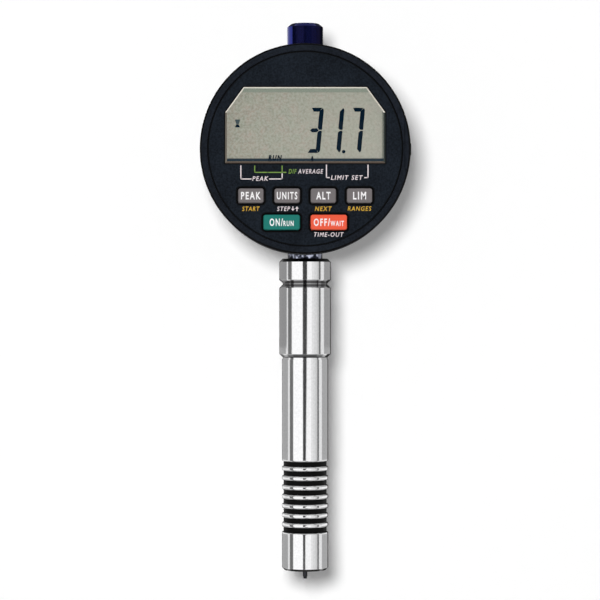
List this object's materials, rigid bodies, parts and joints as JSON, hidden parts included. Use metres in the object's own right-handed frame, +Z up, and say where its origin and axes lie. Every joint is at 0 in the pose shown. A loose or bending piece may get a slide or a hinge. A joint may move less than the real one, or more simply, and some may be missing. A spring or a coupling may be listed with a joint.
{
  "type": "digital durometer",
  "caption": "Hand-held digital durometer: round LCD indicator head with keys on a polished steel barrel that holds a spring-loaded indenter.",
  "frame": {"origin": "centre of the presser foot's face, on the barrel's axis", "axes": "+Z up the barrel to the head and dust cap, -Y out of the display, +X to the right of someone who reads it"},
  "size_m": [0.0567, 0.0299, 0.1523],
  "materials": {
    "polished_steel": "turned and polished",
    "tool_steel": "ground and hardened",
    "spring_steel": "drawn wire",
    "fastener_steel": "blackened",
    "bearing_bronze": "turned",
    "brass": "turned",
    "turned_aluminium": "turned",
    "black_rubber": "moulded",
    "blue_anodised": "anodised blue",
    "black_case": "black anodised, satin",
    "black_plastic": "moulded, fine grain",
    "printed_face": "matt printed film",
    "clear_acrylic": "clear, bevelled",
    "lcd_glass": "matt reflective polariser",
    "circuit_board": "solder mask",
    "chip_black": "moulded",
    "metal_can": "nickel plated",
    "amber_film": "polyimide film",
    "grey_key": "moulded silicone",
    "green_key": "moulded silicone",
    "red_key": "moulded silicone"
  },
  "bodies": {
    "frame": {"presser_foot": "polished_steel", "guide_bush": "bearing_bronze", "main_spring": "spring_steel", "spring_adjuster": "brass", "lower_barrel": "polished_steel", "grip_rings": "black_rubber", "upper_barrel": "polished_steel", "stem_screw": "fastener_steel", "stem": "polished_steel", "stem_bush": "bearing_bronze", "upper_bush": "bearing_bronze", "dust_cap": "blue_anodised", "rear_case": "black_case", "back_gasket": "black_rubber", "back_cover": "black_case", "back_screws": "fastener_steel", "reader_board": "circuit_board", "reader_screws": "fastener_steel", "guide_rod": "tool_steel", "spindle_spring": "spring_steel", "signal_flex": "amber_film", "turn_hub": "turned_aluminium", "hub_washer": "spring_steel", "hub_nut": "brass", "slip_ring": "black_plastic"},
    "plunger": {"plunger": "tool_steel", "indenter": "tool_steel"},
    "spindle": {"spindle": "tool_steel", "contact_point": "tool_steel", "scale_carrier": "turned_aluminium", "carrier_screw": "fastener_steel", "linear_scale": "circuit_board"},
    "display": {"bezel_housing": "black_plastic", "face_overlay": "printed_face", "display_window": "clear_acrylic", "lcd_panel": "lcd_glass", "lcd_holder": "black_plastic", "contact_strips": "black_rubber", "display_board": "circuit_board", "board_screws": "fastener_steel", "controller_chip": "chip_black", "crystal": "metal_can", "housing_plate": "black_plastic", "plate_screws": "fastener_steel", "keypad_mat": "black_rubber", "battery_contacts": "brass", "data_jack": "black_plastic"},
    "drawer": {"battery_drawer": "black_plastic", "coin_cell": "metal_can"},
    "port": {"port_plug": "black_rubber"},
    "key_hold": {"key_hold": "grey_key"},
    "key_unit": {"key_unit": "grey_key"},
    "key_second": {"key_second": "grey_key"},
    "key_limit": {"key_limit": "grey_key"},
    "key_on": {"key_on": "green_key"},
    "key_off": {"key_off": "red_key"}
  },
  "joints": [
    {"name": "plunger_slide", "type": "slide", "parent": "frame", "child": "plunger", "axis": [0, 0, 1], "range_m": [0, 0.0025], "stiffness_N_per_m": 3000, "springref_m": -0.00018, "deforming": ["main_spring"]},
    {"name": "spindle_slide", "type": "slide", "parent": "frame", "child": "spindle", "axis": [0, 0, 1], "range_m": [0, 0.0025], "stiffness_N_per_m": 40, "springref_m": -0.006, "deforming": ["spindle_spring"]},
    {"name": "display_turn", "type": "hinge", "parent": "frame", "child": "display", "pos_m": [0, 0, 0.1145], "axis": [0, 1, 0], "range_deg": [-135, 135]},
    {"name": "drawer_slide", "type": "slide", "parent": "display", "child": "drawer", "axis": [1, 0, 0], "range_m": [0, 0.014]},
    {"name": "port_slide", "type": "slide", "parent": "display", "child": "port", "axis": [-1, 0, 0], "range_m": [0, 0.004]},
    {"name": "key_hold_press", "type": "slide", "parent": "display", "child": "key_hold", "axis": [0, 1, 0], "range_m": [0, 0.0005], "stiffness_N_per_m": 1500, "springref_m": -0.0002, "deforming": ["keypad_mat"]},
    {"name": "key_unit_press", "type": "slide", "parent": "display", "child": "key_unit", "axis": [0, 1, 0], "range_m": [0, 0.0005], "stiffness_N_per_m": 1500, "springref_m": -0.0002, "deforming": ["keypad_mat"]},
    {"name": "key_second_press", "type": "slide", "parent": "display", "child": "key_second", "axis": [0, 1, 0], "range_m": [0, 0.0005], "stiffness_N_per_m": 1500, "springref_m": -0.0002, "deforming": ["keypad_mat"]},
    {"name": "key_limit_press", "type": "slide", "parent": "display", "child": "key_limit", "axis": [0, 1, 0], "range_m": [0, 0.0005], "stiffness_N_per_m": 1500, "springref_m": -0.0002, "deforming": ["keypad_mat"]},
    {"name": "key_on_press", "type": "slide", "parent": "display", "child": "key_on", "axis": [0, 1, 0], "range_m": [0, 0.0005], "stiffness_N_per_m": 1500, "springref_m": -0.0002, "deforming": ["keypad_mat"]},
    {"name": "key_off_press", "type": "slide", "parent": "display", "child": "key_off", "axis": [0, 1, 0], "range_m": [0, 0.0005], "stiffness_N_per_m": 1500, "springref_m": -0.0002, "deforming": ["keypad_mat"]}
  ],
  "couplings": [
    {"joint": "spindle_slide", "follows": "plunger_slide", "ratio": 1}
  ]
}
